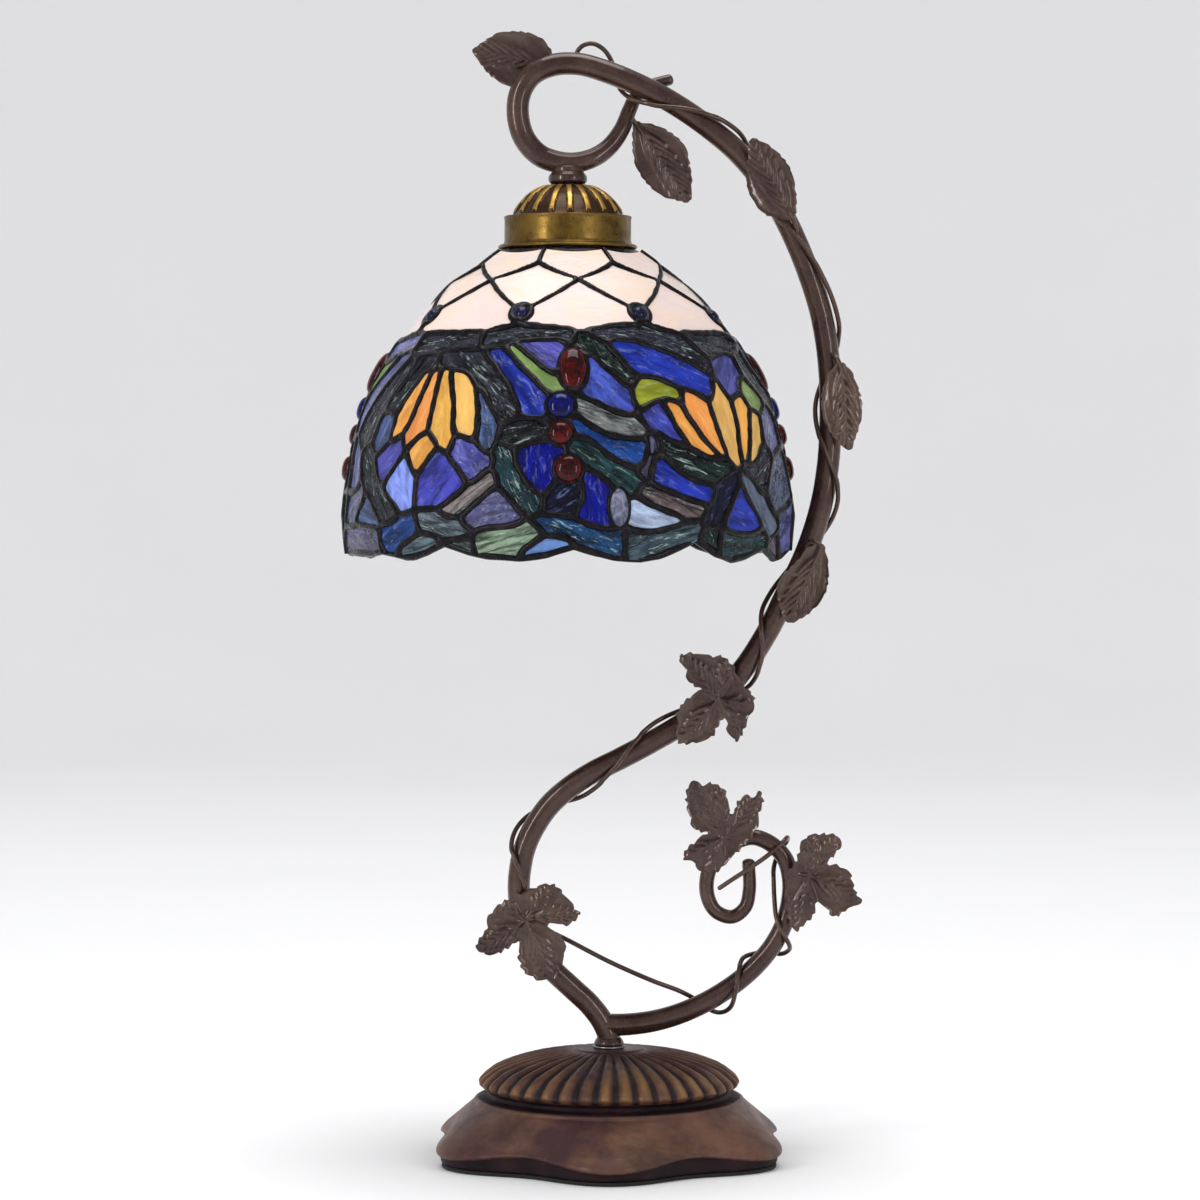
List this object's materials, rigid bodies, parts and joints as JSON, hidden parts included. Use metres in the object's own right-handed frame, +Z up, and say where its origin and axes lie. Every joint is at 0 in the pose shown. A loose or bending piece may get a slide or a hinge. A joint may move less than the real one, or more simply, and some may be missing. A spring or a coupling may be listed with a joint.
{
  "type": "stained glass table lamp",
  "caption": "Table lamp with a scalloped cast base, a curled tube stand with leaves and vine wire, and a leaded glass dome shade hung under a brass cap.",
  "frame": {"origin": "centre of the underside of the base, on the felt pad", "axes": "+Z up the lamp; +X towards the side on which the stand's arch bows out; -Y towards the front, where the leaves face"},
  "size_m": [0.2409, 0.2088, 0.5204],
  "materials": {
    "bronze_paint": "dark brown bronze lacquer, satin to glossy",
    "cast_bronze": "brown bronze patina on a casting, worn warm on the high flutes",
    "antique_brass": "dark antiqued brass with brighter raised ribs",
    "brass": "plain brass, lightly tarnished",
    "steel": "zinc plated steel",
    "iron": "rough unpainted iron",
    "felt": "black felt",
    "rubber": "black moulded bushing",
    "insulation": "brown flexible insulation",
    "phenolic": "black moulded socket body",
    "cream_glass": "opalescent cream art glass",
    "flower_glass": "streaky blue, violet, green and orange art glass",
    "red_jewel": "polished dark red cabochon",
    "blue_jewel": "polished dark blue cabochon",
    "came": "dark patinated solder over copper foil",
    "bulb_glass": "frosted white bulb glass"
  },
  "bodies": {
    "stand": {"base_casting": "cast_bronze", "felt_pad": "felt", "ballast_weight": "iron", "base_washer": "steel", "base_nut": "steel", "foot_washer": "brass", "foot_collar": "bronze_paint", "cord_bushing": "rubber", "main_post": "bronze_paint", "scroll_branch": "bronze_paint", "lead_wire": "insulation", "neck_coupling": "bronze_paint", "threaded_nipple": "steel", "vine_wire_upper": "bronze_paint", "vine_wire_middle": "bronze_paint", "vine_wire_lower": "bronze_paint", "leaf_crown": "bronze_paint", "leaf_eye": "bronze_paint", "leaf_right_upper": "bronze_paint", "leaf_right_middle": "bronze_paint", "leaf_right_lower": "bronze_paint", "vine_leaf_middle": "bronze_paint", "vine_leaf_foot": "bronze_paint", "vine_leaf_hook": "bronze_paint", "vine_leaf_scroll": "bronze_paint", "head_washer": "steel", "head_lock_nut": "steel", "socket_cap": "brass", "socket_housing": "phenolic", "screw_shell": "brass", "centre_contact": "brass"},
    "shade": {"cap_dome": "antique_brass", "fitter_band": "antique_brass", "shade_spider": "brass", "shade_top_ring": "brass", "shade_crown_glass": "cream_glass", "shade_flower_glass": "flower_glass", "shade_rim_came": "came", "jewel_oval_front": "red_jewel", "jewel_blue_front": "blue_jewel", "jewel_red_upper_front": "red_jewel", "jewel_red_lower_front": "red_jewel", "jewel_oval_right": "red_jewel", "jewel_blue_right": "blue_jewel", "jewel_red_upper_right": "red_jewel", "jewel_red_lower_right": "red_jewel", "jewel_oval_back": "red_jewel", "jewel_blue_back": "blue_jewel", "jewel_red_upper_back": "red_jewel", "jewel_red_lower_back": "red_jewel", "jewel_oval_left": "red_jewel", "jewel_blue_left": "blue_jewel", "jewel_red_upper_left": "red_jewel", "jewel_red_lower_left": "red_jewel"},
    "bulb": {"bulb_glass": "bulb_glass", "bulb_screw_base": "brass", "bulb_tip_contact": "steel"}
  },
  "joints": [
    {"name": "shade_swivel", "type": "hinge", "parent": "stand", "child": "shade", "pos_m": [-0.019, 0, 0.419], "axis": [0, 0, 1], "range_deg": [-170, 170]},
    {"name": "bulb_removal", "type": "slide", "parent": "stand", "child": "bulb", "axis": [0, 0, -1], "range_m": [0, 0.105]}
  ]
}
